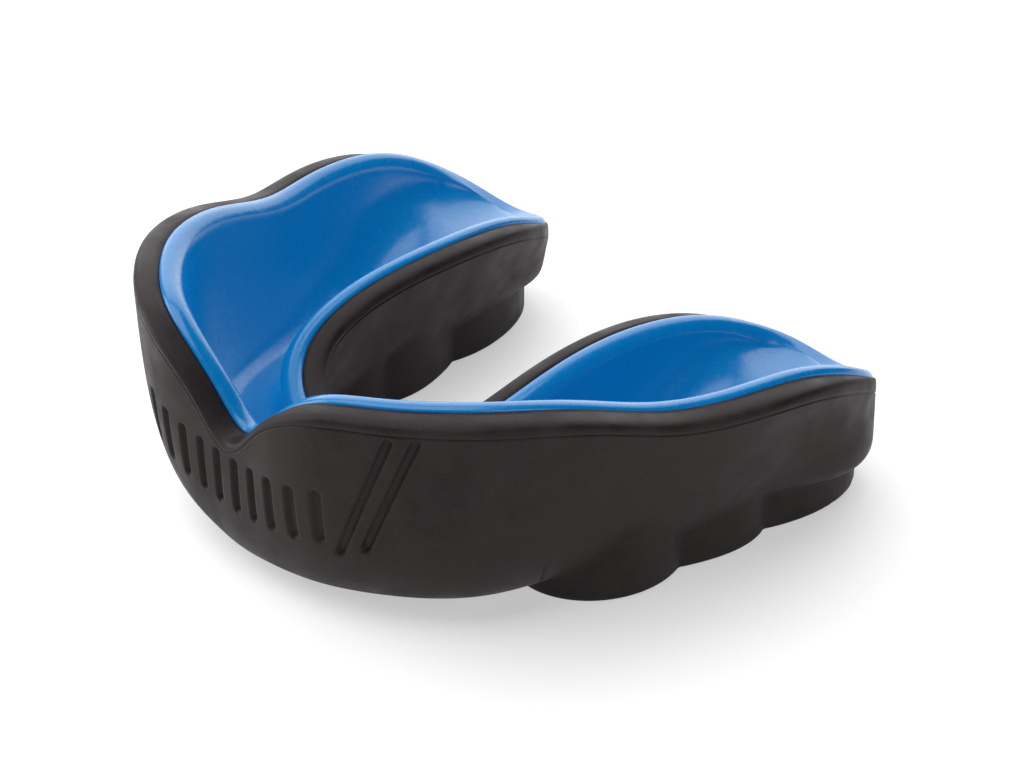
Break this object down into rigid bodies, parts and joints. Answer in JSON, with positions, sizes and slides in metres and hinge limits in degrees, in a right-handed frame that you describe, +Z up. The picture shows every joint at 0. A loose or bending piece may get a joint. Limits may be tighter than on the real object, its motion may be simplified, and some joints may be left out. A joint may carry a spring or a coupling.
{
  "type": "mouthguard",
  "caption": "Horseshoe boil-and-bite mouthguard: a firm rubber frame with lobed chewing pads and a soft gel liner forming the open tooth trough.",
  "frame": {"origin": "centre of the bounding box's bottom face, on the plane of the chewing lobes' flat bottoms", "axes": "+X across the mouth, lip side faces -Y, arms run back towards +Y, +Z up towards the upper teeth"},
  "size_m": [0.0622, 0.0536, 0.0218],
  "materials": {
    "rubber": "satin matte moulded rubber with fine speckle",
    "gel": "glossy smooth moulded gel"
  },
  "bodies": {
    "root": {"rubber_frame": "rubber", "gel_liner": "gel"}
  },
  "joints": []
}
